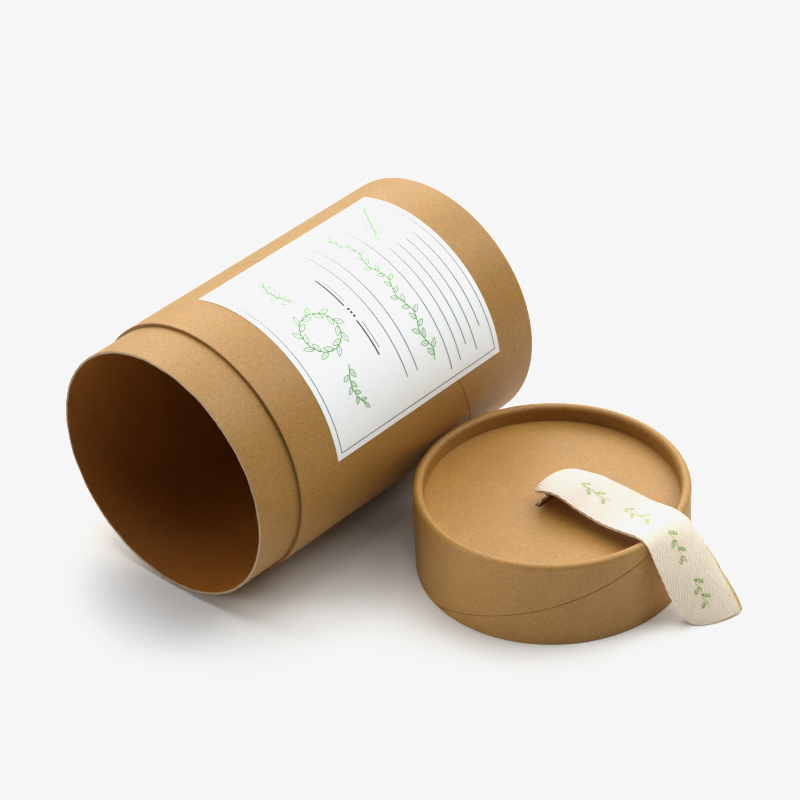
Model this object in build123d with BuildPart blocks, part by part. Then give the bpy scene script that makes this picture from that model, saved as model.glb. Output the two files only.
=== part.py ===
from build123d import *

import os
from math import cos, degrees, pi, radians, sin, sqrt, tan

# A round gift tube box made of paper and board, lying open on its side, with its lid
# standing next to it on its open end. Millimetres. Z is up and the box lies on Z = 0.
# X runs along the tube, from its mouth towards its base. The lid is on the -Y side.
# The origin is on the floor, under the middle of the whole arrangement.

# Paper and board
tube_wall = 1.2
neck_wall = 0.8
lid_wall = 1.05
disc_card = 0.6
backing_board = 1.0
liner_paper = 0.15
label_paper = 0.12

# Box body
bore_radius = 45.0
neck_reveal = 18.5
outer_length = 119.5

# Lid
lid_height = 32.5
lid_clearance = 0.15

# Rolled rims at the base of the tube and at the top of the lid. The half turn of each
# bead is drawn with chords, fewer of them on the hidden inside of the fold.
rim_width = 3.5
rim_recess = 6.0
bead_chords = 8
fold_chords = 2
disc_clearance = 0.05
skirt_clearance = 0.3

# Front label, centred along the outer tube and turned from the top towards the lid side
label_length = 82.5
label_width = 82.5
label_turn = 33.0

# Pull tape: one woven strip, folded double, with both ends through a slot in the lid
tape_width = 20.0
tape_cloth = 0.7
tape_gap = 0.2
slot_clearance = 0.2
slot_offset = 2.5
tail_length = 12.0
riser_bend = 3.0
run_slope = 3.3
drop_slope = 65.0
running_gap = 0.3

# Where the lid stands: along the tube from its mouth, and its least gap to the tube
lid_along = 93.0
lid_gap = 0.35

# Radii of the walls
neck_radius = bore_radius + neck_wall
outer_radius = neck_radius + tube_wall
lid_bore_radius = neck_radius + lid_clearance
lid_radius = lid_bore_radius + lid_wall
rim_bend = rim_width / 2

# Stations along the tube, from its mouth
tube_length = neck_reveal + outer_length
base_card = tube_length - rim_recess - disc_card
base_board = base_card - backing_board

# Heights in the lid
lid_face = lid_height - rim_recess
lid_card = lid_face - disc_card
lid_board = lid_card - backing_board

# The doubled tape: half its thickness, and its middle line over the rim's bead.
# The run slopes up to the bead, and the drop slopes down and out to the floor.
tape_half = tape_cloth + tape_gap / 2
bead_out = lid_radius - rim_bend
bead_up = lid_height - rim_bend
over_rim = rim_bend + running_gap + tape_half
run_out = -sin(radians(run_slope))
run_up = cos(radians(run_slope))
drop_out = sin(radians(drop_slope))
drop_up = cos(radians(drop_slope))
corner_share = 1 / (1 + run_out * drop_out + run_up * drop_up)
corner_out = bead_out + over_rim * (run_out + drop_out) * corner_share
corner_up = bead_up + over_rim * (run_up + drop_up) * corner_share
root_up = lid_face + running_gap + tape_half
riser_up = corner_up - corner_out * tan(radians(run_slope))
end_up = running_gap + tape_half
tape_reach = corner_out + (corner_up - end_up) / tan(radians(drop_slope))

# The lid's rolled rim stands under the bulge of the tube, at the gap stated above
rim_to_axis = outer_radius + rim_bend + lid_gap
lid_aside = bead_out + sqrt(rim_to_axis**2 - (outer_radius - bead_up) ** 2)

# The origin lies in the middle of the arrangement
length_over_all = max(tube_length, lid_along + lid_radius)
depth_aside = lid_aside + max(lid_radius, tape_reach + tape_half)
mouth_x = -length_over_all / 2
tube_y = (depth_aside - outer_radius) / 2
lid_x = mouth_x + lid_along
lid_y = tube_y - lid_aside

tube_axis = Axis((mouth_x, tube_y, outer_radius), (1, 0, 0))
lid_axis = Axis((lid_x, lid_y, 0), (0, 0, 1))

# In these two planes x runs along the axis towards the rolled rim, and y is the radius
tube_section = Plane(origin=(mouth_x, tube_y, outer_radius), x_dir=(1, 0, 0), z_dir=(0, -1, 0))
lid_section = Plane(origin=(lid_x, lid_y, 0), x_dir=(0, 0, 1), z_dir=(0, 1, 0))

# In this plane x runs out from the slot over the rim, and y is the height
tape_section = Plane(origin=(lid_x + slot_offset, lid_y, 0), x_dir=(0, -1, 0), z_dir=(-1, 0, 0))


def half_turn(crest, middle, bend, chords):
    """Points of a half turn, from the outside of the wall over to the lip."""
    turns = [pi * step / chords for step in range(chords + 1)]
    return [(crest + bend * sin(turn), middle + bend * cos(turn)) for turn in turns]


def rolled_wall(start, end, outer, wall):
    """Section of a wall whose far end is rolled in and down onto the disc."""
    crest = end - rim_bend
    middle = outer - rim_bend
    lip = end - rim_recess
    fold = rim_bend - wall
    with BuildSketch() as section:
        with BuildLine():
            Polyline(
                (start, outer - wall),
                (start, outer),
                *half_turn(crest, middle, rim_bend, bead_chords),
                (lip, middle - rim_bend),
                (lip, middle - fold),
                *reversed(half_turn(crest, middle, fold, fold_chords)),
                close=True,
            )
        make_face()
    return section.sketch


def skirted_disc(end, wall_bore):
    """Section of a pressed disc whose skirt stands in the fold of the rolled rim."""
    face = end - rim_recess
    back = face - disc_card
    skirt = wall_bore - disc_clearance
    skirt_top = end - rim_bend - skirt_clearance
    with BuildSketch() as section:
        with BuildLine():
            Polyline(
                (face, 0),
                (back, 0),
                (back, skirt),
                (skirt_top, skirt),
                (skirt_top, skirt - disc_card),
                (face, skirt - disc_card),
                close=True,
            )
        make_face()
    return section.sketch


def ring_section(start, end, inner, outer):
    """Section of a plain ring or disc between two stations and two radii."""
    with BuildSketch() as section:
        with BuildLine():
            Polyline((start, inner), (end, inner), (end, outer), (start, outer), close=True)
        make_face()
    return section.sketch


def band_round(line, half):
    """Band of even thickness round a line, with round ends."""
    with BuildSketch() as section:
        with BuildLine():
            offset(line, amount=half, side=Side.BOTH)
        make_face()
    return section.sketch


# Outer tube: wound kraft board, its base end rolled in
with BuildPart() as outer_tube:
    with BuildSketch(tube_section):
        add(rolled_wall(neck_reveal, tube_length, outer_radius, tube_wall))
    revolve(axis=tube_axis)

# Neck tube: the inner tube, which stands out of the outer one to take the lid
with BuildPart() as neck_tube:
    with BuildSketch(tube_section):
        add(ring_section(0, base_board, bore_radius, neck_radius))
    revolve(axis=tube_axis)

# Base disc: pressed card, held by its skirt in the rolled rim
with BuildPart() as base_disc:
    with BuildSketch(tube_section):
        add(skirted_disc(tube_length, neck_radius))
    revolve(axis=tube_axis)

# Base backing: the stiff board behind the base disc, against the end of the neck tube
with BuildPart() as base_backing:
    with BuildSketch(tube_section):
        add(ring_section(base_board, base_card, 0, neck_radius - disc_clearance))
    revolve(axis=tube_axis)

# Base liner: the kraft paper disc on the floor of the box
with BuildPart() as base_liner:
    with BuildSketch(tube_section):
        add(ring_section(base_board - liner_paper, base_board, 0, bore_radius - disc_clearance))
    revolve(axis=tube_axis)

# Front label: a square of paper glued round the outer tube
label_start = neck_reveal + (outer_length - label_length) / 2
label_arc = degrees(label_width / outer_radius)
label_section = tube_section.rotated((label_turn - label_arc / 2, 0, 0))
with BuildPart() as front_label:
    with BuildSketch(label_section):
        add(ring_section(label_start, label_start + label_length, outer_radius, outer_radius + label_paper))
    revolve(axis=tube_axis, revolution_arc=label_arc)

# Lid tube: wound kraft board, its top end rolled in
with BuildPart() as lid_tube:
    with BuildSketch(lid_section):
        add(rolled_wall(0, lid_height, lid_radius, lid_wall))
    revolve(axis=lid_axis)

# Lid disc: pressed card with a slot for the tape
slot_length = tape_width + 2 * slot_clearance
slot_width = 2 * (tape_half + slot_clearance)
with BuildPart() as lid_disc:
    with BuildSketch(lid_section):
        add(skirted_disc(lid_height, lid_bore_radius))
    revolve(axis=lid_axis)
    with BuildSketch(Plane.XY.offset(lid_card)):
        with Locations((lid_x + slot_offset, lid_y)):
            Rectangle(slot_length, slot_width)
    extrude(amount=disc_card, mode=Mode.SUBTRACT)

# Lid backing: the stiff board under the lid disc, with a window round the tape's ends
window_width = 2 * (tail_length + slot_clearance)
with BuildPart() as lid_backing:
    with BuildSketch(lid_section):
        add(ring_section(lid_board, lid_card, 0, lid_bore_radius - disc_clearance))
    revolve(axis=lid_axis)
    with BuildSketch(Plane.XY.offset(lid_board)):
        with Locations((lid_x + slot_offset, lid_y)):
            Rectangle(slot_length, window_width)
    extrude(amount=backing_board, mode=Mode.SUBTRACT)

# Lid liner: the kraft paper disc that covers the backing and the ends of the tape
with BuildPart() as lid_liner:
    with BuildSketch(lid_section):
        add(ring_section(lid_board - liner_paper, lid_board, 0, lid_bore_radius - disc_clearance))
    revolve(axis=lid_axis)

# Tape tails: the two ends of the strip, up through the slot and spread under the disc
tail_face = lid_card - tape_cloth
with BuildPart() as tape_tails:
    with BuildSketch(tape_section):
        with BuildLine():
            Polyline(
                (-tail_length, tail_face),
                (tail_length, tail_face),
                (tail_length, lid_card),
                (tape_half, lid_card),
                (tape_half, lid_face),
                (-tape_half, lid_face),
                (-tape_half, lid_card),
                (-tail_length, lid_card),
                close=True,
            )
        make_face()
    extrude(amount=tape_width / 2, both=True)

# Pull tape: the doubled loop, up from the slot, over the rim and down to the floor
with BuildLine():
    tape_line = FilletPolyline(
        (0, root_up),
        (0, riser_up),
        (corner_out, corner_up),
        (tape_reach, end_up),
        radius=(riser_bend, over_rim),
    )
with BuildPart() as pull_tape:
    with BuildSketch(tape_section):
        add(band_round(tape_line, tape_half))
        add(band_round(tape_line, tape_gap / 2), mode=Mode.SUBTRACT)
    extrude(amount=tape_width / 2, both=True)

tape_strip = 2 * (tape_line.length + root_up - tail_face + tail_length)
print(f"pull tape: loop {tape_line.length:.1f} mm, strip {tape_strip:.1f} mm")
print(f"mouth at {mouth_x:.3f}, {tube_y:.3f}, {outer_radius:.3f}")
print(f"lid at {lid_x:.3f}, {lid_y:.3f}; tape root at height {root_up:.3f}")

pieces = {
    "outer_tube": outer_tube,
    "neck_tube": neck_tube,
    "base_disc": base_disc,
    "base_backing": base_backing,
    "base_liner": base_liner,
    "front_label": front_label,
    "lid_tube": lid_tube,
    "lid_disc": lid_disc,
    "lid_backing": lid_backing,
    "lid_liner": lid_liner,
    "tape_tails": tape_tails,
    "pull_tape": pull_tape,
}
os.makedirs("parts", exist_ok=True)
for name, piece in pieces.items():
    piece.part.label = name
    export_step(piece.part, f"parts/{name}.step")
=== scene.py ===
"""Looks for a kraft gift tube box that lies open on its side, with its lid and pull tape beside it."""

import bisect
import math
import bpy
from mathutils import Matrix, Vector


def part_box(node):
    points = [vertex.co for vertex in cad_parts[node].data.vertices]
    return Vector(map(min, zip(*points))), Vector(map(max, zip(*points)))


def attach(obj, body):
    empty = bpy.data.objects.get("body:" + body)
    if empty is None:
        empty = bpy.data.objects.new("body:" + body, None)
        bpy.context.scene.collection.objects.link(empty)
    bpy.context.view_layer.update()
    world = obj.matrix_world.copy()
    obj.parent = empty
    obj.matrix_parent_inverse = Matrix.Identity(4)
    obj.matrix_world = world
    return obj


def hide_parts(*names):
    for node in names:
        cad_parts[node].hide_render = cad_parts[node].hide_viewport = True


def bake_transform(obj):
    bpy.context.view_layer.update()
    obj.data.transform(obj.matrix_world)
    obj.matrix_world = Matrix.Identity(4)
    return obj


bl_info = {
    "name": "Kraft gift tube box",
    "version": (1, 0, 0),
    "blender": (4, 5, 0),
    "location": "3D View > Sidebar > Gift Tube",
    "description": "Finishes the packed gift tube box: wound kraft walls, label, lid and woven pull tape",
    "category": "Object",
}

import bpy
from mathutils import Matrix, Vector, noise

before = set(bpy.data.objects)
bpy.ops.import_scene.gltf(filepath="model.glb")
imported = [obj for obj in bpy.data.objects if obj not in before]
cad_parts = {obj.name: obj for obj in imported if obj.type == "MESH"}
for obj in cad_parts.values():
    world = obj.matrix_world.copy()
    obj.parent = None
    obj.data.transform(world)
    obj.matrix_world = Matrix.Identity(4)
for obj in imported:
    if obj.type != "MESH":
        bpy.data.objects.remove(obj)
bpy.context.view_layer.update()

MM = 0.001

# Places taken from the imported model
tube_low, tube_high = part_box("outer_tube")
neck_low, neck_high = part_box("neck_tube")
lid_low, lid_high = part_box("lid_tube")
lid_disc_low, lid_disc_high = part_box("lid_disc")
label_low, label_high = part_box("front_label")
tails_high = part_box("tape_tails")[1]

TUBE_RADIUS = (tube_high.y - tube_low.y) / 2
NECK_RADIUS = (neck_high.y - neck_low.y) / 2
LID_RADIUS = (lid_high.y - lid_low.y) / 2
LID_BORE = (lid_disc_high.y - lid_disc_low.y) / 2 + 0.05 * MM
LID_HEIGHT = lid_high.z
LID_FACE = tails_high.z
MOUTH = Vector((neck_low.x, (neck_low.y + neck_high.y) / 2, (neck_low.z + neck_high.z) / 2))
LID_FOOT = Vector(((lid_low.x + lid_high.x) / 2, (lid_low.y + lid_high.y) / 2, 0))
STEP = tube_low.x - neck_low.x
TUBE_LENGTH = tube_high.x - neck_low.x
NECK_LENGTH = neck_high.x - neck_low.x
LABEL_START = label_low.x - neck_low.x
LABEL_LENGTH = label_high.x - label_low.x


def unit(value):
    """A size in millimetres, in metres."""
    return value * MM


class TubeSizes(bpy.types.PropertyGroup):
    neck_wall: bpy.props.FloatProperty(
        name="Neck wall", description="Thickness of the inner tube", default=unit(0.8), unit="LENGTH")
    rim_width: bpy.props.FloatProperty(
        name="Rim width", description="Width of the rolled rims", default=unit(3.5), unit="LENGTH")
    rim_recess: bpy.props.FloatProperty(
        name="Rim recess", description="Depth of the discs in the rims", default=unit(6.0), unit="LENGTH")
    seam_depth: bpy.props.FloatProperty(
        name="Seam depth", description="Depth of the spiral joint of the paper",
        default=unit(0.16), unit="LENGTH")
    tube_seam_pitch: bpy.props.FloatProperty(
        name="Tube seam pitch", description="Rise of the tube's seam in one turn",
        default=unit(108), unit="LENGTH")
    tube_seam_start: bpy.props.FloatProperty(
        name="Tube seam start", description="Distance from the mouth where the seam passes the top",
        default=unit(72.7), unit="LENGTH")
    lid_seam_pitch: bpy.props.FloatProperty(
        name="Lid seam pitch", description="Rise of the lid's seam in one turn",
        default=unit(100), unit="LENGTH")
    lid_seam_foot: bpy.props.FloatProperty(
        name="Lid seam foot", description="Turn from +X where the lid's seam starts at the foot",
        default=math.radians(162.3), subtype="ANGLE")


class Finishes(bpy.types.PropertyGroup):
    kraft: bpy.props.FloatVectorProperty(
        name="Kraft", description="Brown kraft paper", subtype="COLOR",
        default=(0.435, 0.238, 0.058))
    # Also darkens the seams: a dark joint with painted shade in its groove, and painted shade on the walls'
    # end faces.
    kraft_dark: bpy.props.FloatVectorProperty(
        name="Kraft fibres", description="Dark fibres and the seam", subtype="COLOR",
        default=(0.13, 0.052, 0.014))
    # Painted shade: multiplies the bore and liners to a deeper, redder brown that stands in for the shade
    # and brown bounced light inside the tube.
    inside: bpy.props.FloatVectorProperty(
        name="Inside tint", description="Deeper brown of the bore", subtype="COLOR",
        default=(1.0, 0.78, 0.42))
    cut_edge: bpy.props.FloatVectorProperty(
        name="Cut edge", description="Pale cut edge of the board", subtype="COLOR",
        default=(0.47, 0.33, 0.19))
    label: bpy.props.FloatVectorProperty(
        name="Label", description="White label paper", subtype="COLOR",
        default=(0.93, 0.94, 0.925))
    rule: bpy.props.FloatVectorProperty(
        name="Label rules", description="Grey print on the label", subtype="COLOR",
        default=(0.055, 0.062, 0.07))
    leaf: bpy.props.FloatVectorProperty(
        name="Leaves", description="Green print on the label", subtype="COLOR",
        default=(0.14, 0.40, 0.07))
    cotton: bpy.props.FloatVectorProperty(
        name="Cotton", description="Natural cotton of the tape", subtype="COLOR",
        default=(0.90, 0.80, 0.635))


class TapeSizes(bpy.types.PropertyGroup):
    width: bpy.props.FloatProperty(
        name="Tape width", description="Width of the woven strip", default=unit(20), unit="LENGTH")
    cloth: bpy.props.FloatProperty(
        name="Cloth", description="Thickness of the woven strip", default=unit(0.45), unit="LENGTH")
    gap: bpy.props.FloatProperty(
        name="Layer gap", description="Gap between the two layers", default=unit(0.15), unit="LENGTH")


class StageSettings(bpy.types.PropertyGroup):
    lens: bpy.props.FloatProperty(
        name="Lens", description="Focal length", default=139.1, subtype="DISTANCE_CAMERA")
    world: bpy.props.FloatProperty(
        name="Room light", description="Strength of the bright panel behind the box", default=3.0)
    overhead: bpy.props.FloatProperty(
        name="Overhead", description="Soft light above, in watts", default=15.2)
    right: bpy.props.FloatProperty(
        name="High right", description="Soft light high on the right, in watts", default=15.2)
    left: bpy.props.FloatProperty(
        name="Low left", description="Soft light low on the left, in watts", default=12.7)
    behind: bpy.props.FloatProperty(
        name="Behind", description="Soft light behind the box, in watts", default=3.3)
    behind_right: bpy.props.FloatProperty(
        name="Behind right", description="Soft light behind the lid, in watts", default=9.3)
    contrast: bpy.props.FloatProperty(
        name="Contrast", description="Power of the picture's tone curve", default=1.22)
    paper_white: bpy.props.FloatProperty(
        name="Paper white", description="Brightest tone of the picture", default=0.922)


class GiftTubeSettings(bpy.types.PropertyGroup):
    tube: bpy.props.PointerProperty(type=TubeSizes)
    finish: bpy.props.PointerProperty(type=Finishes)
    tape: bpy.props.PointerProperty(type=TapeSizes)
    stage: bpy.props.PointerProperty(type=StageSettings)


class Graph:
    """The nodes of a new material, or of a world, added and linked one call at a time."""

    def __init__(self, name, world=None):
        self.owner = world or bpy.data.materials.new(name)
        self.owner.use_nodes = True
        self.tree = self.owner.node_tree
        self.tree.nodes.clear()

    def add(self, kind, inputs=None, **settings):
        node = self.tree.nodes.new(kind)
        for key, value in settings.items():
            setattr(node, key, value)
        for key, value in (inputs or {}).items():
            if isinstance(value, bpy.types.NodeSocket):
                self.tree.links.new(value, node.inputs[key])
            else:
                node.inputs[key].default_value = value
        return node

    def math(self, operation, *values):
        return self.add("ShaderNodeMath", dict(enumerate(values)), operation=operation).outputs[0]

    def plus(self, first, second):
        return self.math("ADD", first, second)

    def minus(self, first, second):
        return self.math("SUBTRACT", first, second)

    def times(self, first, second):
        return self.math("MULTIPLY", first, second)

    def mix(self, factor, first, second, blend="MIX"):
        """Mixes two colours, at the node's colour inputs 6 and 7 and its colour output 2."""
        node = self.add("ShaderNodeMix", {"Factor": factor}, data_type="RGBA", blend_type=blend)
        for key, value in ((6, first), (7, second)):
            if isinstance(value, bpy.types.NodeSocket):
                self.tree.links.new(value, node.inputs[key])
            else:
                node.inputs[key].default_value = (*value, 1)
        return node.outputs[2]

    def spread(self, value, low, high, to_low=0.0, to_high=1.0, smooth=False):
        """A value carried from one range to another, and held within it."""
        inputs = {"Value": value, "From Min": low, "From Max": high, "To Min": to_low, "To Max": to_high}
        kind = "SMOOTHSTEP" if smooth else "LINEAR"
        return self.add("ShaderNodeMapRange", inputs, interpolation_type=kind, clamp=True).outputs[0]

    def grain(self, vector, size, detail=2.0, roughness=0.55):
        """Noise whose features are about this size in metres."""
        inputs = {"Vector": vector, "Scale": 1 / size, "Detail": detail, "Roughness": roughness}
        return self.add("ShaderNodeTexNoise", inputs).outputs["Fac"]

    def attribute(self, name):
        """A number that the mesh stores for each vertex, 0 where it stores none."""
        return self.add("ShaderNodeAttribute", attribute_name=name).outputs["Fac"]

    def place(self):
        return self.add("ShaderNodeTexCoord").outputs["Object"]

    def finish(self, colour, roughness, bump=None, depth=0.0, **sockets):
        """The material itself, with this surface."""
        plain = not isinstance(colour, bpy.types.NodeSocket)
        inputs = {"Base Color": (*colour, 1) if plain else colour, "Roughness": roughness}
        for key, value in sockets.items():
            inputs[key.replace("_", " ")] = value
        if bump is not None:
            relief = self.add("ShaderNodeBump", {"Height": bump, "Distance": depth, "Strength": 1.0})
            inputs["Normal"] = relief.outputs["Normal"]
        shader = self.add("ShaderNodeBsdfPrincipled", inputs)
        self.add("ShaderNodeOutputMaterial", {"Surface": shader.outputs["BSDF"]})
        return self.owner


def toned(colour, factor):
    """A colour made darker or lighter, no channel past 1."""
    return [min(1.0, channel * factor) for channel in colour]


def kraft_paper(name, settings, shade=1.0, marked=True, inside=False):
    """Brown kraft: cloudy tone, fine fibre speckle, a few dark flecks, and marked seams and cut edges;
    seams, end faces, bore and liners also carry painted shade.
    """
    finish = settings.finish
    paper = Graph(name)
    plus, times, mix, spread = paper.plus, paper.times, paper.mix, paper.spread
    place = paper.place()
    cloud = paper.grain(place, unit(11), 3.0)
    mottle = paper.grain(place, unit(1.0), 3.0)
    fibre = paper.grain(place, unit(0.42), 2.0, 0.7)
    base = toned(finish.kraft, shade)
    # Painted shade: liners are tinted to the deeper brown of the bore's shade.
    if inside:
        base = [channel * depth for channel, depth in zip(base, finish.inside)]
    light = toned(base, 1.09)
    dark = toned(base, 0.91)
    tone = plus(times(cloud, 0.35), times(mottle, 0.65))
    colour = mix(spread(tone, 0.33, 0.67), dark, light)
    grainy = mix(spread(fibre, 0.3, 0.7), [0.73, 0.71, 0.66], [1.19, 1.20, 1.24])
    colour = mix(1.0, colour, grainy, "MULTIPLY")
    # Flecks: cell size, then inner and outer radius in cells, colour channel, least chance, strength
    flecks = ((unit(7.5), 0.03, 0.05, 0, 0.62, 0.75), (unit(2.3), 0.06, 0.12, 1, 0.55, 0.28))
    for size, core, rim, channel, chance, strength in flecks:
        cells = paper.add("ShaderNodeTexVoronoi", {"Vector": place, "Scale": 1 / size})
        luck = paper.add("ShaderNodeSeparateColor", {"Color": cells.outputs["Color"]}).outputs[channel]
        fleck = spread(cells.outputs["Distance"], core, rim, 1.0, 0.0)
        fleck = times(fleck, paper.math("GREATER_THAN", luck, chance))
        colour = mix(times(fleck, strength), colour, finish.kraft_dark)
    if marked:
        # Seams: a dark joint, with painted shade for the shade in the groove; end faces marked with them get
        # painted shade for the dark gap beside them.
        colour = mix(times(paper.attribute("seam"), 0.85), colour, finish.kraft_dark)
        # Painted shade: the bore is tinted deeper brown, standing in for the shade inside the tube.
        colour = mix(paper.attribute("bore"), colour, finish.inside, "MULTIPLY")
        edge_tone = mix(spread(fibre, 0.35, 0.65), toned(finish.cut_edge, 0.72), finish.cut_edge)
        colour = mix(paper.attribute("edge"), colour, edge_tone)
    bump = plus(times(fibre, 0.6), times(mottle, 0.8))
    return paper.finish(colour, 0.55, bump, unit(0.045), Specular_IOR_Level=0.8)


def make_active(item):
    for other in bpy.context.selected_objects:
        other.select_set(False)
    item.select_set(True)
    bpy.context.view_layer.objects.active = item


def steps_to(count):
    """Shares from 0 to 1, both included."""
    return [step / count for step in range(count + 1)]


def half_turn(crest, middle, bend, steps):
    """Points of a half turn, from the outside of the wall over to the lip."""
    turns = [math.pi * share for share in steps_to(steps)]
    return [(crest + bend * math.sin(turn), middle + bend * math.cos(turn)) for turn in turns]


def evenly(first, last, count):
    """Points of a straight run, its last one left out."""
    return [tuple(a + (b - a) * share for a, b in zip(first, last)) for share in steps_to(count)[:-1]]


def rolled_section(start, end, outer, wall, tube):
    """Closed section of a wall with a rolled end: (along, radius), from the corner of its open end."""
    bend = tube.rim_width / 2
    fold = bend - wall
    crest = end - bend
    lip = end - tube.rim_recess
    middle = outer - bend
    round_off = wall * 0.22
    corner = start + round_off
    outside = [(corner, outer), *evenly((corner + unit(0.2), outer), (crest, outer), 26)]
    bead = half_turn(crest, middle, bend, 20)
    inner_bead = list(reversed(half_turn(crest, middle, fold, 6)))
    return [
        *outside,
        *bead[:-1],
        *evenly(bead[-1], (lip, middle - bend), 4),
        *evenly((lip, middle - bend), (lip, middle - fold), 2),
        *evenly((lip, middle - fold), inner_bead[0], 2),
        *inner_bead[:-1],
        *evenly(inner_bead[-1], (start + unit(0.15), outer - wall), 5),
        (start + unit(0.15), outer - wall),
        *evenly((start, outer - wall), (start, outer - round_off), 4),
        (start, outer - round_off),
        (start + round_off * 0.3, outer - round_off * 0.3),
        (corner, outer),
    ]


def lengths_along(points):
    """Distance along a line to each of its points."""
    lengths = [0.0]
    for first, second in zip(points, points[1:]):
        lengths.append(lengths[-1] + math.dist(first, second))
    return lengths


def stretch_at(lengths, place):
    """Number of the stretch between two points that holds this place, and the share of it passed."""
    place = min(max(place, 0.0), lengths[-1])
    low = min(bisect.bisect_right(lengths, place), len(lengths) - 1) - 1
    span = lengths[low + 1] - lengths[low]
    share = (place - lengths[low]) / span if span else 0.0
    return low, share


def find_on(section, lengths, place):
    """The section's point at this distance along it."""
    low, share = stretch_at(lengths, place)
    return [a + (b - a) * share for a, b in zip(section[low], section[low + 1])]


def flat_paper(name, width, lengths, columns, slants):
    """A flat sheet, ruled across at these lengths and cut on the slant along these lines."""
    place = (width / 2, lengths[-1] / 2, 0)
    bpy.ops.mesh.primitive_grid_add(x_subdivisions=columns, y_subdivisions=1, size=1, location=place)
    sheet = bpy.context.object
    sheet.name = name
    sheet.scale = (width, lengths[-1], 1)
    bpy.ops.object.transform_apply(location=True, rotation=True, scale=True)
    bpy.ops.object.mode_set(mode="EDIT")
    for length in lengths[1:-1]:
        bpy.ops.mesh.select_all(action="SELECT")
        bpy.ops.mesh.bisect(plane_co=(0, length, 0), plane_no=(0, 1, 0))
    for place, normal in slants:
        bpy.ops.mesh.select_all(action="SELECT")
        bpy.ops.mesh.bisect(plane_co=place, plane_no=normal)
    bpy.ops.object.mode_set(mode="OBJECT")
    return sheet


def close_up(sheet, angle=35):
    """Merges the wound edges and sets the normals of a wound sheet."""
    make_active(sheet)
    bpy.ops.object.mode_set(mode="EDIT")
    bpy.ops.mesh.select_all(action="SELECT")
    bpy.ops.mesh.remove_doubles(threshold=unit(0.002))
    bpy.ops.mesh.dissolve_degenerate(threshold=unit(0.002))
    bpy.ops.mesh.normals_make_consistent(inside=False)
    bpy.ops.object.mode_set(mode="OBJECT")
    bpy.ops.object.shade_smooth_by_angle(angle=math.radians(angle))


def thicken(sheet, thickness, offset):
    """Gives a flat sheet its thickness."""
    make_active(sheet)
    solid = sheet.modifiers.new("thickness", "SOLIDIFY")
    solid.thickness = thickness
    solid.offset = offset
    bpy.ops.object.modifier_apply(modifier=solid.name)


def mark(sheet, name, values):
    """Stores a number for each vertex, for the material to read."""
    attribute = sheet.data.attributes.new(name, "FLOAT", "POINT")
    attribute.data.foreach_set("value", values)


def ripple(turn, along, size, seed):
    """Smooth noise round a tube, from -1 to 1, with features of this size at a radius of 1."""
    spot = Vector((math.cos(turn) / size, math.sin(turn) / size, along / size + seed))
    return noise.noise(spot)


# Half width of a seam's dip, and the crest and reach of the ply's rise beside it, in millimetres
SEAM_DIP = 0.16
RISE_CREST = 0.45
RISE_REACH = 1.4
# Height of that rise, as a share of the dip's depth
RISE_HEIGHT = 0.22
WALL_COLUMNS = 288


def wound_wall(name, section, placed, seam, depth, seed):
    """A wall wound from a flat sheet. seam holds its length at turn 0, pitch, and first and last length."""
    lengths = lengths_along(section)
    width = 2 * math.pi * section[0][1]
    start, pitch, first, last = seam
    direction = Vector((width, pitch, 0)).normalized()
    normal = Vector((-direction.y, direction.x, 0))
    lines = [start + pitch * turns for turns in range(-3, 3)]
    lines = [line for line in lines if line + pitch > first and line < last]
    slants = []
    for line in lines:
        for side in (-RISE_REACH, -RISE_CREST, -SEAM_DIP, 0.0, SEAM_DIP, RISE_CREST, RISE_REACH):
            slants.append((Vector((0, line, 0)) + normal * unit(side), normal))
    sheet = flat_paper(name, width, lengths, WALL_COLUMNS, slants)
    bend = section[0][1]
    dark_joint_and_shade = []
    open_end = section[-2][0]
    for vertex in sheet.data.vertices:
        x, y = vertex.co.x, vertex.co.y
        turn = 2 * math.pi * x / width
        along, radius = find_on(section, lengths, y)
        away = min(abs((Vector((x, y, 0)) - Vector((0, line, 0))).dot(normal)) for line in lines) / MM
        on_skin = first - unit(0.5) <= y <= last
        dip = max(0.0, 1 - away / SEAM_DIP) if on_skin else 0.0
        rise = max(0.0, 1 - abs(away - RISE_CREST) / (RISE_REACH - RISE_CREST))
        rise = rise if on_skin and away > SEAM_DIP else 0.0
        # Painted shade: the end face at the open end gets half the seam's darkening, standing in for the
        # shade that falls on it and in the gap beside it.
        end_face = along <= open_end + unit(0.05)
        dark_joint_and_shade.append(0.5 if end_face else dip)
        radius += depth * (RISE_HEIGHT * rise - dip)
        radius += unit(0.05) * ripple(turn, along / bend, 0.35, seed)
        spot = placed(turn, along, radius)
        spot.z = max(spot.z, 0.0)
        vertex.co = spot
    mark(sheet, "seam", dark_joint_and_shade)
    close_up(sheet)
    return sheet


def on_tube(turn, along, radius):
    """A place on the lying tube: turn from its top towards the lid, distance from its mouth, radius."""
    return Vector((MOUTH.x + along, MOUTH.y - radius * math.sin(turn), MOUTH.z + radius * math.cos(turn)))


def on_lid(turn, up, radius):
    """A place on the lid: turn from +X towards +Y, height, and radius."""
    return Vector((LID_FOOT.x + radius * math.cos(turn), LID_FOOT.y + radius * math.sin(turn), up))


def from_lid(x, y, z):
    """A place in millimetres from the lid's axis and the floor."""
    return LID_FOOT + Vector((x, y, z)) * MM


def settings_of(context):
    return context.scene.gift_tube


def give(piece, material):
    piece.data.materials.clear()
    piece.data.materials.append(material)


def dress(node, material):
    """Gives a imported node, whose shape stays, its finish."""
    give(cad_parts[node], material)


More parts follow.
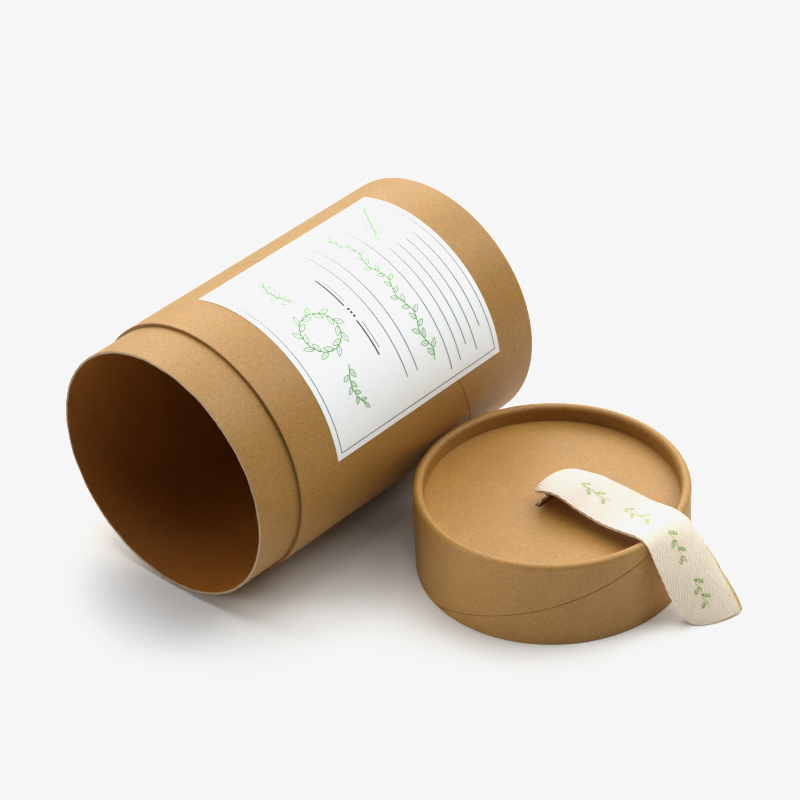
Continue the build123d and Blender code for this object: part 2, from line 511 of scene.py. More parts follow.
class GIFTTUBE_OT_outer_tube(bpy.types.Operator):
    """Wound kraft wall of the box, with its spiral seam and rolled base rim"""

    bl_idname = "gifttube.outer_tube"
    bl_label = "Outer tube"

    def execute(self, context):
        settings = settings_of(context)
        tube = settings.tube
        section = rolled_section(STEP, TUBE_LENGTH, TUBE_RADIUS, TUBE_RADIUS - NECK_RADIUS, tube)
        skin = TUBE_LENGTH - STEP + tube.rim_width
        seam = (tube.tube_seam_start - section[0][0], tube.tube_seam_pitch, 0.0, skin)
        wall = wound_wall("outer_tube_kraft", section, on_tube, seam, tube.seam_depth, 3.1)
        give(wall, kraft_paper("kraft_tube_paper", settings))
        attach(wall, "tube")
        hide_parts("outer_tube")
        return {"FINISHED"}


class GIFTTUBE_OT_neck(bpy.types.Operator):
    """Inner tube that stands out as the neck, with a slightly ragged, pale cut edge"""

    bl_idname = "gifttube.neck"
    bl_label = "Neck tube"

    def execute(self, context):
        settings = settings_of(context)
        inner = NECK_RADIUS - settings.tube.neck_wall
        soft = settings.tube.neck_wall * 0.2
        section = [
            (soft, NECK_RADIUS),
            *evenly((soft + unit(0.15), NECK_RADIUS), (STEP, NECK_RADIUS), 8),
            *evenly((STEP, NECK_RADIUS), (NECK_LENGTH, NECK_RADIUS), 4),
            *evenly((NECK_LENGTH, NECK_RADIUS), (NECK_LENGTH, inner), 1),
            *evenly((NECK_LENGTH, inner), (soft + unit(0.15), inner), 22),
            (soft + unit(0.15), inner),
            (soft, inner),
            (soft * 0.3, inner + soft * 0.3),
            *evenly((0, inner + soft), (0, NECK_RADIUS - soft), 4),
            (0, NECK_RADIUS - soft),
            (soft * 0.3, NECK_RADIUS - soft * 0.3),
            (soft, NECK_RADIUS),
        ]
        lengths = lengths_along(section)
        width = 2 * math.pi * NECK_RADIUS
        sheet = flat_paper("neck_tube_kraft", width, lengths, 540, [])
        edges, bore_shade = [], []
        for vertex in sheet.data.vertices:
            turn = 2 * math.pi * vertex.co.x / width
            along, radius = find_on(section, lengths, vertex.co.y)
            # Painted shade: the bore is marked for the deeper brown that stands in for its shade.
            bore_shade.append(1.0 if radius < inner + unit(0.05) else 0.0)
            edges.append(1.0 if along <= soft * 1.01 else 0.0)
            # The cut edge is a little ragged
            if along < unit(0.5):
                along += unit(0.16) * ripple(turn, radius / unit(1.5), 0.02, 8.0)
                along += unit(0.22) * ripple(turn, 0, 0.16, 4.0)
                radius += unit(0.07) * ripple(turn, radius / unit(0.8), 0.025, 17.0)
            radius += unit(0.10) * ripple(turn, along / NECK_RADIUS, 0.6, 2.0)
            vertex.co = on_tube(turn, along, radius)
        mark(sheet, "edge", edges)
        mark(sheet, "bore", bore_shade)
        close_up(sheet)
        give(sheet, kraft_paper("kraft_neck_paper", settings, 0.97))
        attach(sheet, "tube")
        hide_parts("neck_tube")
        return {"FINISHED"}


class GIFTTUBE_OT_lid(bpy.types.Operator):
    """Wound kraft ring of the lid, with its spiral seam and rolled top rim"""

    bl_idname = "gifttube.lid"
    bl_label = "Lid ring"

    def execute(self, context):
        settings = settings_of(context)
        tube = settings.tube
        section = rolled_section(0, LID_HEIGHT, LID_RADIUS, LID_RADIUS - LID_BORE, tube)
        skin = LID_HEIGHT + tube.rim_width
        at_zero = -tube.lid_seam_foot / (2 * math.pi) * tube.lid_seam_pitch
        seam = (at_zero - section[0][0], tube.lid_seam_pitch, 0.0, skin)
        ring = wound_wall("lid_tube_kraft", section, on_lid, seam, tube.seam_depth, 9.4)
        give(ring, kraft_paper("kraft_lid_paper", settings))
        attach(ring, "lid")
        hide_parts("lid_tube")
        return {"FINISHED"}


class GIFTTUBE_OT_boards(bpy.types.Operator):
    """Finish of the flat discs and boards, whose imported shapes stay"""

    bl_idname = "gifttube.boards"
    bl_label = "Discs and boards"

    def execute(self, context):
        settings = settings_of(context)
        card = kraft_paper("kraft_disc_card", settings, 1.02, False)
        # Painted shade: the liners inside tube and lid are darkened and tinted like the bore.
        liner = kraft_paper("kraft_liner_painted_shade", settings, 0.95, False, True)
        board = kraft_paper("grey_board", settings, 0.8, False)
        for node in ("base_disc", "lid_disc"):
            dress(node, card)
        for node in ("base_liner", "lid_liner"):
            dress(node, liner)
        for node in ("base_backing", "lid_backing"):
            dress(node, board)
        return {"FINISHED"}


class GIFTTUBE_OT_label(bpy.types.Operator):
    """Square white paper label, glued round the tube"""

    bl_idname = "gifttube.label"
    bl_label = "Label"

    def execute(self, context):
        settings = settings_of(context)
        lengths = [LABEL_LENGTH * share for share in steps_to(60)]
        sheet = flat_paper("front_label_paper", LABEL_LENGTH, lengths, 60, [])
        for vertex in sheet.data.vertices:
            turn = label_turn(vertex.co.x)
            vertex.co = on_tube(turn, LABEL_START + vertex.co.y, TUBE_RADIUS + unit(0.05))
        thicken(sheet, unit(0.11), 1.0)
        close_up(sheet, 30)
        paper = Graph("label_paper_white")
        fine = paper.grain(paper.place(), unit(0.5))
        white = settings.finish.label
        colour = paper.mix(fine, toned(white, 0.97), white)
        give(sheet, paper.finish(colour, 0.5, fine, unit(0.01), Specular_IOR_Level=0.4))
        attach(sheet, "tube")
        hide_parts("front_label")
        lay_print("label_rules", grey_print(), settings.finish.rule, unit(0.172))
        lay_print("label_leaves", green_print(), settings.finish.leaf, unit(0.174))
        return {"FINISHED"}


def label_turn(across):
    """Turn on the tube of a place across the label, from its upper edge."""
    packed_radius = TUBE_RADIUS + unit(0.12)
    top = math.asin(min(1.0, (MOUTH.y - label_low.y) / packed_radius))
    return top - (LABEL_LENGTH - across) / TUBE_RADIUS


def ribbon(points, width):
    """One printed stroke: a flat strip that follows these points, in millimetres on the label."""
    bpy.ops.mesh.primitive_grid_add(x_subdivisions=1, y_subdivisions=len(points) - 1, size=1)
    strip = bpy.context.object
    closed = math.dist(points[0], points[-1]) < 0.001
    for vertex in strip.data.vertices:
        index = round((vertex.co.y + 0.5) * (len(points) - 1))
        before, after = index - 1, index + 1
        if closed:
            before, after = (before % (len(points) - 1)), (after - 1) % (len(points) - 1) + 1
        before, after = max(before, 0), min(after, len(points) - 1)
        way = (Vector(points[after]) - Vector(points[before])).normalized()
        side = width / 2 if vertex.co.x > 0 else -width / 2
        vertex.co = (points[index][0] + way.y * side, points[index][1] - way.x * side, 0)
    if closed:
        bpy.ops.object.mode_set(mode="EDIT")
        bpy.ops.mesh.select_all(action="SELECT")
        bpy.ops.mesh.remove_doubles(threshold=0.0005)
        bpy.ops.object.mode_set(mode="OBJECT")
    return strip


def rule(start, end, width):
    """A straight printed line."""
    steps = max(2, round(math.dist(start, end) / 1.2))
    return [ribbon([*evenly(start, end, steps), end], width)]


def dotted(start, end, pitch, size):
    """A row of printed dots."""
    count = round(math.dist(start, end) / pitch)
    dots = []
    for x, y in [*evenly(start, end, count), end]:
        bpy.ops.mesh.primitive_circle_add(vertices=10, radius=size / 2, fill_type="NGON", location=(x, y, 0))
        dots.append(bpy.context.object)
    return dots


def leaf(x, y, turn, length, width, stroke=0.27):
    """An outlined leaf with a short middle vein, its stalk at x, y."""
    ahead = Vector((math.cos(turn), math.sin(turn)))
    aside = Vector((-ahead.y, ahead.x))
    foot = Vector((x, y))
    outline = []
    for side in (1, -1):
        for step in range(8):
            share = step / 8 if side == 1 else 1 - step / 8
            bulge = width / 2 * math.sin(math.pi * share**0.8)
            outline.append(foot + ahead * length * share + aside * bulge * side)
    outline.append(outline[0])
    vein = [foot + ahead * length * share for share in (0.0, 0.3, 0.62)]
    return [ribbon(outline, stroke), ribbon(vein, stroke * 0.7)]


def twig(points, leaves, length, width):
    """A curved stem with leaves on both sides and one at its tip."""
    path = [Vector(point) for point in points]
    pieces = [ribbon(points, 0.3)]
    for number in range(leaves):
        place = (number + 0.8) / (leaves + 0.6) * (len(path) - 1)
        low = int(place)
        spot = path[low].lerp(path[low + 1], place - low)
        way = path[low + 1] - path[low]
        lean = 0.85 if number % 2 else -0.85
        small = 1 - 0.35 * number / leaves
        turn = math.atan2(way.y, way.x) + lean
        pieces += leaf(spot.x, spot.y, turn, length * small, width * small)
    way = path[-1] - path[-2]
    pieces += leaf(path[-1].x, path[-1].y, math.atan2(way.y, way.x), length * 0.8, width * 0.8)
    return pieces


def wreath(x, y, radius, leaves):
    """A ring of leaves that lean outwards and inwards in turn."""
    turns = [2 * math.pi * share for share in steps_to(60)]
    pieces = [ribbon([(x + radius * math.cos(turn), y + radius * math.sin(turn)) for turn in turns], 0.3)]
    for number in range(leaves):
        turn = 2 * math.pi * number / leaves
        lean = math.pi / 2 + (0.6 if number % 2 else -0.6)
        pieces += leaf(x + radius * math.cos(turn), y + radius * math.sin(turn), turn + lean, 4.2, 1.7)
    return pieces


def grey_print():
    """The plain rules, dots and frame of the label, from its middle and its end near the mouth."""
    inset = 2.2
    edge = LABEL_LENGTH / MM / 2 - inset
    far = LABEL_LENGTH / MM - inset
    corners = [(-edge, inset), (edge, inset), (edge, far), (-edge, far)]
    pieces = []
    for start, end in zip(corners, corners[1:] + corners[:1]):
        way = (Vector(end) - Vector(start)).normalized() * 0.13
        pieces += rule(tuple(Vector(start) - way), tuple(Vector(end) + way), 0.26)
    pieces += rule((-edge + 3.0, 58.6), (edge - 3.0, 58.6), 0.3)
    pieces += dotted((16.4, 61.5), (16.4, far - 3.0), 1.25, 0.42)
    for side in (-1, 1):
        pieces += rule((side * 3.2, 31.4), (side * 17.0, 31.4), 0.55)
        pieces += rule((side * 4.6, 32.9), (side * 15.0, 32.9), 0.25)
    pieces += dotted((-1.5, 31.9), (1.5, 31.9), 1.5, 1.0)
    for height in (38.6, 43.6):
        pieces += rule((-29.0, height), (29.0, height), 0.3)
    for height, end in ((63.4, -35.0), (67.6, -31.0), (71.8, -35.0), (76.0, -28.0)):
        pieces += rule((end, height), (12.6, height), 0.3)
    return pieces


def green_print():
    """The leaves of the label."""
    pieces = wreath(0, 16.8, 7.4, 18)
    for side in (-1, 1):
        curve = []
        for share in steps_to(16):
            curve.append((side * (14.0 + 14.0 * share), 18.6 - 3.4 * math.sin(math.pi * share * 0.9)))
        pieces += twig(curve, 7, 3.6, 1.6)
    wave = [(-29.5 + 59.0 * share, 52.2 + 1.1 * math.sin(share * 8 * math.pi)) for share in steps_to(72)]
    pieces += twig(wave, 25, 3.8, 1.7)
    stem = [(36.0 - 15.5 * share, 77.0 - 11.5 * share**0.8) for share in steps_to(12)]
    pieces += twig(stem, 7, 4.6, 2.1)
    return pieces


def lay_print(name, pieces, colour, lift):
    """Joins printed pieces and lays them on the label, as a film of ink."""
    make_active(pieces[0])
    for piece in pieces:
        piece.select_set(True)
    bpy.ops.object.join()
    sheet = bpy.context.object
    sheet.name = name
    bpy.ops.object.transform_apply(location=True, rotation=True, scale=True)
    half = LABEL_LENGTH / 2
    for vertex in sheet.data.vertices:
        turn = label_turn(half - vertex.co.x * MM)
        vertex.co = on_tube(turn, LABEL_START + vertex.co.y * MM, TUBE_RADIUS + lift)
    thicken(sheet, unit(0.03), 0)
    bpy.ops.object.mode_set(mode="EDIT")
    bpy.ops.mesh.select_all(action="SELECT")
    bpy.ops.mesh.normals_make_consistent(inside=False)
    bpy.ops.object.mode_set(mode="OBJECT")
    ink = Graph(name + "_ink")
    thin = ink.mix(0.12, colour, (1, 1, 1))
    tone = ink.mix(ink.spread(ink.grain(ink.place(), unit(0.9)), 0.45, 0.75), colour, thin)
    give(sheet, ink.finish(tone, 0.8, Specular_IOR_Level=0.1))
    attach(sheet, "tube")


# Outer face of the folded tape, from the slot over the rim to the floor. Each row holds four places
# across the tape, in millimetres from the lid's axis and the floor.
TAPE_ROWS = (
    ((-7.3, 0.5, 25.9), (-0.7, 0.5, 25.9), (5.8, 0.5, 25.9), (12.3, 0.5, 25.9)),
    ((-7.1, 0.6, 26.5), (-0.6, 0.6, 26.5), (5.8, 0.6, 26.5), (12.3, 0.6, 26.5)),
    ((-3.2, 0.8, 26.9), (2.0, 0.8, 27.2), (7.2, 0.8, 27.2), (12.3, 0.7, 27.1)),
    ((-2.4, 0.9, 28.1), (2.6, 1.0, 28.8), (8.0, 1.0, 28.5), (12.3, 0.8, 27.8)),
    ((-5.2, 1.3, 30.6), (0.2, 1.3, 32.2), (6.9, 1.3, 31.7), (12.3, 1.1, 29.3)),
    ((-8.0, 1.0, 32.6), (-2.5, 0.6, 34.9), (5.0, 0.4, 33.9), (12.4, 0.2, 30.4)),
    ((-8.0, -1.5, 33.9), (-1.5, -1.6, 35.5), (5.5, -1.8, 34.4), (12.5, -2.2, 31.1)),
    ((-7.7, -6.0, 35.1), (-1.0, -6.0, 35.6), (5.8, -6.2, 34.7), (12.4, -6.6, 32.1)),
    ((-7.5, -11.0, 34.7), (-0.9, -11.2, 35.2), (5.8, -11.5, 34.6), (12.4, -12.0, 33.1)),
    ((-7.5, -16.0, 33.6), (-0.9, -16.2, 34.1), (5.7, -16.6, 34.0), (12.3, -17.0, 33.2)),
    ((-7.5, -21.0, 32.8), (-0.9, -21.4, 33.3), (5.7, -21.8, 33.4), (12.3, -22.3, 33.1)),
    ((-7.5, -26.5, 32.3), (-0.9, -27.0, 32.8), (5.7, -27.5, 33.1), (12.3, -28.0, 33.0)),
    ((-7.5, -32.0, 32.6), (-0.9, -32.5, 32.9), (5.7, -33.0, 33.0), (12.3, -33.6, 32.8)),
    ((-7.5, -37.5, 33.3), (-0.9, -38.0, 33.4), (5.7, -38.5, 33.4), (12.3, -39.0, 33.4)),
    ((-7.5, -41.0, 33.8), (-0.9, -41.4, 33.7), (5.7, -41.8, 33.7), (12.3, -42.3, 33.7)),
    ((-7.5, -44.2, 33.5), (-0.9, -44.5, 33.7), (5.7, -44.9, 33.8), (12.3, -45.6, 33.4)),
    ((-7.5, -47.0, 31.8), (-0.8, -47.6, 32.3), (5.7, -48.4, 32.6), (12.2, -48.8, 32.1)),
    ((-7.5, -48.7, 28.9), (-1.0, -49.9, 29.9), (5.6, -51.0, 30.5), (12.1, -51.4, 29.7)),
    ((-7.3, -50.2, 25.4), (-0.9, -51.9, 26.7), (5.6, -53.3, 27.4), (12.0, -54.0, 27.0)),
    ((-7.0, -51.8, 21.8), (-0.8, -54.1, 23.2), (5.6, -55.7, 24.2), (12.1, -56.7, 23.9)),
    ((-6.5, -53.4, 17.5), (-0.7, -56.1, 18.9), (5.8, -58.3, 20.1), (12.6, -59.3, 20.0)),
    ((-5.2, -54.6, 12.5), (0.1, -58.0, 13.9), (6.2, -60.8, 15.2), (13.1, -61.6, 15.7)),
    ((-3.4, -55.3, 8.0), (0.9, -59.3, 9.2), (6.8, -62.7, 10.3), (13.9, -64.0, 11.2)),
    ((-1.4, -55.6, 4.2), (1.2, -60.2, 5.0), (7.2, -64.2, 5.8), (14.6, -66.2, 6.6)),
    ((0.3, -55.7, 1.6), (1.4, -60.8, 2.0), (7.3, -65.1, 2.4), (15.2, -67.6, 2.9)),
    ((1.0, -55.7, 0.7), (1.4, -61.0, 0.6), (7.3, -65.4, 0.7), (15.4, -67.9, 1.0)),
)


def cubic(values, place):
    """The cubic through four evenly spaced points, at a place from 0 to 1."""
    places = (0, 1 / 3, 2 / 3, 1)
    total = Vector((0, 0, 0))
    for index, value in enumerate(values):
        weight = 1.0
        for other, spot in enumerate(places):
            if other != index:
                weight *= (place - spot) / (places[index] - spot)
        total += value * weight
    return total


def smooth_path(points, lengths, length):
    """A point of the smooth path through these points, at a distance along it."""
    index, share = stretch_at(lengths, length)
    span = lengths[index + 1] - lengths[index]
    slopes = []
    for at in (index, index + 1):
        before, after = max(at - 1, 0), min(at + 1, len(points) - 1)
        slopes.append((points[after] - points[before]) / (lengths[after] - lengths[before]) * span)
    square, cube = share * share, share**3
    return (
        points[index] * (2 * cube - 3 * square + 1)
        + slopes[0] * (cube - 2 * square + share)
        + points[index + 1] * (3 * square - 2 * cube)
        + slopes[1] * (cube - square)
    )


def even_row(corners, columns):
    """A row across the tape, its points evenly spaced on the cubic through four points."""
    fine = [cubic(corners, share) for share in steps_to(48)]
    lengths = lengths_along(fine)
    stretches = [stretch_at(lengths, lengths[-1] * place) for place in steps_to(columns)]
    return [fine[low].lerp(fine[low + 1], share) for low, share in stretches]


def bell(value, middle, width):
    """A smooth hump from 0 to 1."""
    share = abs(value - middle) / width
    return (0.5 + 0.5 * math.cos(math.pi * share)) if share < 1 else 0.0


def tape_face(columns, step):
    """Points and outward directions of the tape's outer face, row by row from the slot."""
    knots = [[from_lid(*place) for place in row] for row in TAPE_ROWS]
    lengths = [0.0]
    for first, second in zip(knots, knots[1:]):
        lengths.append(lengths[-1] + ((second[1] - first[1]).length + (second[2] - first[2]).length) / 2)
    count = round(lengths[-1] / step)
    rows = []
    for index in range(count + 1):
        length = lengths[-1] * index / count
        corners = [smooth_path([knot[at] for knot in knots], lengths, length) for at in range(4)]
        rows.append(even_row(corners, columns))
    normals = []
    for index, row in enumerate(rows):
        before, after = rows[max(index - 1, 0)], rows[min(index + 1, count)]
        line = []
        for column in range(columns + 1):
            onward = after[column] - before[column]
            sideways = row[min(column + 1, columns)] - row[max(column - 1, 0)]
            line.append(onward.cross(sideways).normalized())
        normals.append(line)
    return rows, normals, lengths[-1]


def tail_rows(side, columns):
    """Rows of one end of the tape, from its cut end under the card to the slot, in which it rises."""
    cut_end, slot = 12, 0.5
    rows = []
    for share in steps_to(30):
        away = cut_end * (1 - share) + slot * share
        narrow = 0.2 * max(0.0, 1 - (away - slot) / 9)
        level = 25.55 + 0.12 * max(0.0, (share - 0.9) / 0.1)
        left = from_lid(narrow - 7.5, side * away, level)
        right = from_lid(12.3, side * away, level)
        rows.append([left.lerp(right, place) for place in steps_to(columns)])
    return rows


def tape_rows(tape):
    """Middle of the whole strip: one end, outer layer, fold on the floor, inner layer, other end."""
    columns = 56
    cloth = tape.cloth
    # How far the lower layer lies to the side of the upper one at the fold
    skew = unit(1.5)
    face, normals, length = tape_face(columns, unit(0.36))
    last = len(face) - 1

    def gap_at(place):
        """Gap between the layers, wider past the slot and near the fold."""
        wider = unit(0.55) * bell(place, unit(9.5), unit(8)) + unit(0.25) * bell(place, length, unit(14))
        return tape.gap + wider

    outer, inner = [], []
    for index, (row, line) in enumerate(zip(face, normals)):
        place = length * index / last
        gap = gap_at(place)
        slip = skew * max(0.0, min(1.0, (place / length - 0.55) / 0.4))
        outer.append([point - normal * (cloth / 2) for point, normal in zip(row, line)])
        sideways = (row[-1] - row[0]).normalized() * slip
        under = cloth * 1.5 + gap
        inner.append([point - normal * under + sideways for point, normal in zip(row, line)])
    fold = []
    radius = (cloth + gap_at(length)) / 2
    for share in steps_to(8)[1:-1]:
        turn = math.pi * share
        slip = (face[-1][-1] - face[-1][0]).normalized() * skew * share
        row = []
        for column in range(columns + 1):
            normal = normals[-1][column]
            onward = (face[-1][column] - face[-3][column]).normalized()
            middle = face[-1][column] - normal * (cloth / 2 + radius)
            row.append(middle + normal * radius * math.cos(turn) + onward * radius * math.sin(turn) + slip)
        fold.append(row)
    return tail_rows(1, columns), outer, fold, inner[::-1], tail_rows(-1, columns)[::-1]


class GIFTTUBE_OT_tape(bpy.types.Operator):
    """Woven pull tape, one strip folded double, from under the card out through the slot to the floor"""

    bl_idname = "gifttube.tape"
    bl_label = "Pull tape"

    def execute(self, context):
        settings = settings_of(context)
        tape = settings.tape
        parts = tape_rows(tape)
        rows = [row for part in parts for row in part]
        columns = len(rows[0]) - 1
        bpy.ops.mesh.primitive_grid_add(x_subdivisions=columns, y_subdivisions=len(rows) - 1, size=1)
        strip = context.object
        strip.name = "pull_tape_woven"
        lengths = lengths_along([row[columns // 2] for row in rows])
        across, along, printed = [], [], []
        top_first, top_last = len(parts[0]), len(parts[0]) + len(parts[1])
        for vertex in strip.data.vertices:
            column = round((vertex.co.x + 0.5) * columns)
            index = round((vertex.co.y + 0.5) * (len(rows) - 1))
            row = rows[index]
            place = lengths[index]
            sideways = (row[-1] - row[0]).normalized()
            # The woven edges are a little scalloped
            edge = 1.0 if column == 0 else -1.0 if column == columns else 0.0
            scallop = unit(0.045) * math.cos(2 * math.pi * place / unit(3.6) + column)
            scallop += unit(0.12) * noise.noise(Vector((place / unit(7), edge * 3, 0)))
            vertex.co = row[column] + sideways * edge * scallop
            across.append(column / columns)
            along.append(place / MM)
            printed.append(1.0 if top_first <= index < top_last else 0.0)
        mark(strip, "across", across)
        mark(strip, "along", along)
        mark(strip, "printed", printed)
        near, low = LID_FOOT.y - unit(4), LID_FACE + unit(0.45)
        places = [vertex.co for vertex in strip.data.vertices]
        mark(strip, "in_slot", [float(place.z < low and place.y > near) for place in places])
        thicken(strip, tape.cloth, 0)
        for vertex in strip.data.vertices:
            vertex.co.z = max(vertex.co.z, 0.0)
        close_up(strip, 50)
        give(strip, cotton_weave(settings, lengths[top_first] / MM))
        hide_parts("tape_tails", "pull_tape")
        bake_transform(strip)
        return {"FINISHED"}


def cotton_weave(settings, print_start):
    """Natural cotton herringbone in four strips across, with pale green leaves printed along its middle,
    painted shade in its grooves, on the lower layer and on the run over the disc, and painted light on the
    drop.
    """
    finish = settings.finish
    tape_width = settings.tape.width / MM
    weave = Graph("cotton_herringbone")
    calc, mix, spread = weave.math, weave.mix, weave.spread
    plus, minus, times = weave.plus, weave.minus, weave.times
    across, along, printed = (weave.attribute(name) for name in ("across", "along", "printed"))
    place = weave.place()
    # Herringbone: slanted rows that turn back at each stripe, in millimetres
    edge, stripe, slant, row_pitch = 1.1, 4.5, 3.17, 3.0
    uneven = times(weave.grain(place, unit(2.2), 2.0), 0.30)
    width = times(across, tape_width)
    lean = times(calc("PINGPONG", minus(width, edge), stripe), slant)
    phase = plus(calc("DIVIDE", plus(along, lean), row_pitch), uneven)
    ridge = calc("ABSOLUTE", calc("SINE", times(phase, math.pi)))
    twist = calc("SINE", times(minus(times(width, 1.9), times(along, 0.9)), math.pi))
    lint = weave.grain(place, unit(0.35), 2.0, 0.7)
    # Painted shade: the grooves between the woven ridges are darkened.
    groove_shade = spread(ridge, 0.0, 0.55, 1.0, 0.0)
    cream = mix(lint, toned(finish.cotton, 0.95), toned(finish.cotton, 1.04))
    colour = mix(times(groove_shade, 0.38), cream, [0.55, 0.43, 0.31])
    # Painted shade: browner right edge of the lower layer, standing in for the shade and brown bounced light
    # on it, and painted shade on the darker run over the disc
    no_painted_shade = calc("MAXIMUM", printed, minus(1.0, spread(across, 0.4, 0.7)))
    under = mix(no_painted_shade, [0.80, 0.66, 0.44], [1.0, 1.0, 1.0])
    colour = mix(1.0, colour, under, "MULTIPLY")
    down = minus(along, print_start)
    # Painted shade on the run over the disc and painted light on the drop to the floor, for how the light
    # falls on them.
    run_shade_drop_light = spread(down, 40.0, 54.0)
    colour = mix(1.0, colour, mix(run_shade_drop_light, [0.91, 0.85, 0.93], [1.08, 1.06, 1.09]), "MULTIPLY")
    # Vine: a waving stem, with a slanted oval leaf on each side in turn, in millimetres
    leaf_pitch, off_stem, half_length, half_breadth = 3.1, 1.15, 1.55, 0.72
    cosine, sine = 0.72, 0.69
    wide = minus(width, tape_width / 2)
    cell = calc("FLOOR", calc("DIVIDE", down, leaf_pitch))
    side = minus(times(calc("ABSOLUTE", calc("MODULO", cell, 2.0)), 2.0), 1.0)
    local = minus(minus(down, times(cell, leaf_pitch)), leaf_pitch / 2)
    out = minus(times(wide, side), off_stem)
    reach = calc("DIVIDE", plus(times(out, cosine), times(local, sine)), half_length)
    breadth = calc("DIVIDE", minus(times(local, cosine), times(out, sine)), half_breadth)
    oval = calc("SQRT", plus(times(reach, reach), times(breadth, breadth)))
    outline = spread(calc("ABSOLUTE", minus(oval, 0.8)), 0.16, 0.32, 1.0, 0.0)
    wave = times(calc("SINE", times(down, 1.013)), 0.35)
    stem = spread(calc("ABSOLUTE", minus(wide, wave)), 0.14, 0.28, 1.0, 0.0)
    blade = spread(oval, 0.75, 0.85, 0.85, 0.0)
    vine = calc("MAXIMUM", calc("MAXIMUM", outline, blade), stem)
    groups = 0.0
    for first in (7, 13, 19, 25):
        low, high = first * leaf_pitch, (first + 4) * leaf_pitch
        groups = plus(groups, times(calc("GREATER_THAN", down, low), calc("LESS_THAN", down, high)))
    vine = times(times(vine, groups), printed)
    patchy = spread(weave.grain(place, unit(0.9), 1.0), 0.38, 0.55)
    inked = times(times(vine, spread(ridge, 0.2, 0.65)), plus(times(patchy, 0.4), 0.6))
    colour = mix(inked, colour, [0.28, 0.42, 0.10])
    colour = mix(weave.attribute("in_slot"), colour, finish.kraft)
    height = plus(plus(ridge, times(twist, 0.12)), times(lint, 0.25))
    return weave.finish(
        colour, 0.9, height, unit(0.16), Specular_IOR_Level=0.1, Sheen_Weight=0.1, Sheen_Roughness=0.6)


class GIFTTUBE_OT_stage(bpy.types.Operator):
    """Pale floor, soft light and the camera"""

    bl_idname = "gifttube.stage"
    bl_label = "Stage"

    def execute(self, context):
        stage = settings_of(context).stage
        bpy.ops.mesh.primitive_circle_add(vertices=128, radius=0.95, fill_type="NGON", location=(0, 0, 0))
        floor = context.object
        floor.name = "floor"
        paper = Graph("floor_white")
        give(floor, paper.finish((0.92, 0.925, 0.922), 1.0, Specular_IOR_Level=0.0))
        context.scene.world = pale_room(stage.world)
        area_light("overhead", (0.0, 0.1, 1.7), 1.2, stage.overhead)
        area_light("right_high", (0.8, -0.9, 1.6), 1.2, stage.right)
        area_light("left_low", (-1.4, 0.9, 0.6), 0.8, stage.left)
        area_light("behind", (1.1, 1.1, 1.2), 1.0, stage.behind)
        area_light("behind_right", (1.5, -0.3, 0.9), 1.0, stage.behind_right)
        tone_curve(context.scene.view_settings, stage)
        place_camera(context, stage)
        return {"FINISHED"}


def tone_curve(view, stage):
    """A little contrast, and a white that stops short of the brightest, as in the photograph."""
    view.view_transform = "Standard"
    view.use_curve_mapping = True
    mapping = view.curve_mapping
    mapping.extend = "HORIZONTAL"
    curve = mapping.curves[3]
    for place in (0.05, 0.12, 0.22, 0.36, 0.52, 0.68, 0.82, 0.92):
        curve.points.new(place, min(place**stage.contrast, stage.paper_white * (0.5 + 0.5 * place)))
    curve.points[-1].location = (1.0, stage.paper_white)
    mapping.update()


def pale_room(strength):
    """A dark room with one bright panel, high behind the box, that looks pale past the floor's edge."""
    room = Graph("room", bpy.data.worlds.new("room"))
    way = room.add("ShaderNodeTexCoord").outputs["Generated"]
    inputs = {0: way, 1: (0.6, 0.6, 0.53)}
    facing = room.add("ShaderNodeVectorMath", inputs, operation="DOT_PRODUCT").outputs["Value"]
    fade = room.spread(facing, 0.75, 0.97, strength * 0.035, strength, smooth=True)
    seen = room.times(room.add("ShaderNodeLightPath").outputs["Is Camera Ray"], strength)
    inputs = {"Color": (0.98, 1.0, 1.01, 1), "Strength": room.math("MAXIMUM", fade, seen)}
    background = room.add("ShaderNodeBackground", inputs)
    room.add("ShaderNodeOutputWorld", {"Surface": background.outputs["Background"]})
    return room.owner


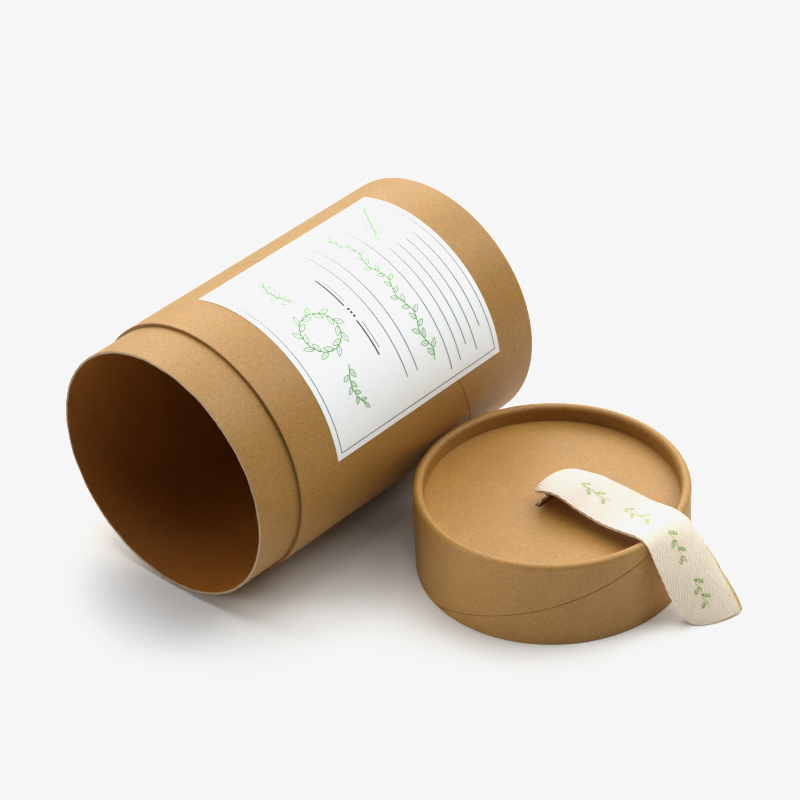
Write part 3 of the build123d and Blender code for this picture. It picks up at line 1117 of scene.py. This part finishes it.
def area_light(name, place, size, power):
    """A square soft light at a place, facing the middle of the object."""
    bpy.ops.object.light_add(type="AREA", location=place)
    light = bpy.context.object
    light.name = name
    light.data.size = size
    light.data.energy = power
    light.data.color = (0.98, 1.0, 1.01)
    light.rotation_euler = (-Vector(place)).to_track_quat("-Z", "Y").to_euler()


def place_camera(context, stage):
    """The photograph's viewpoint, fitted to the outlines of the box."""
    eye = Vector((-0.6179, -0.5756, 0.6554))
    target = Vector((0.0604, 0.0659, 0.0))
    roll = math.radians(-2.95)
    view = (target - eye).normalized()
    right = view.cross(Vector((0, 0, 1))).normalized()
    up = right.cross(view)
    turned_right = right * math.cos(roll) + up * math.sin(roll)
    turned_up = up * math.cos(roll) - right * math.sin(roll)
    camera = bpy.data.cameras.new("camera")
    camera.lens = stage.lens
    camera.sensor_width = 36
    camera.clip_start = 0.05
    camera.clip_end = 50
    holder = bpy.data.objects.new("camera", camera)
    context.scene.collection.objects.link(holder)
    turn = Matrix((turned_right, turned_up, -view)).transposed()
    holder.matrix_world = Matrix.Translation(eye) @ turn.to_4x4()
    context.scene.camera = holder


PIECES = (
    GIFTTUBE_OT_outer_tube,
    GIFTTUBE_OT_neck,
    GIFTTUBE_OT_boards,
    GIFTTUBE_OT_label,
    GIFTTUBE_OT_lid,
    GIFTTUBE_OT_tape,
    GIFTTUBE_OT_stage,
)


class GIFTTUBE_PT_panel(bpy.types.Panel):
    """Sidebar list of the box's pieces"""

    bl_label = "Gift Tube"
    bl_idname = "GIFTTUBE_PT_panel"
    bl_space_type = "VIEW_3D"
    bl_region_type = "UI"
    bl_category = "Gift Tube"

    def draw(self, context):
        for piece in PIECES:
            self.layout.operator(piece.bl_idname)


CLASSES = (TubeSizes, Finishes, TapeSizes, StageSettings, GiftTubeSettings, *PIECES, GIFTTUBE_PT_panel)


def register():
    for item in CLASSES:
        bpy.utils.register_class(item)
    bpy.types.Scene.gift_tube = bpy.props.PointerProperty(type=GiftTubeSettings)


def unregister():
    del bpy.types.Scene.gift_tube
    for item in reversed(CLASSES):
        bpy.utils.unregister_class(item)


def main():
    register()
    for piece in PIECES:
        category, name = piece.bl_idname.split(".")
        getattr(getattr(bpy.ops, category), name)()


if __name__ == "__main__":
    main()
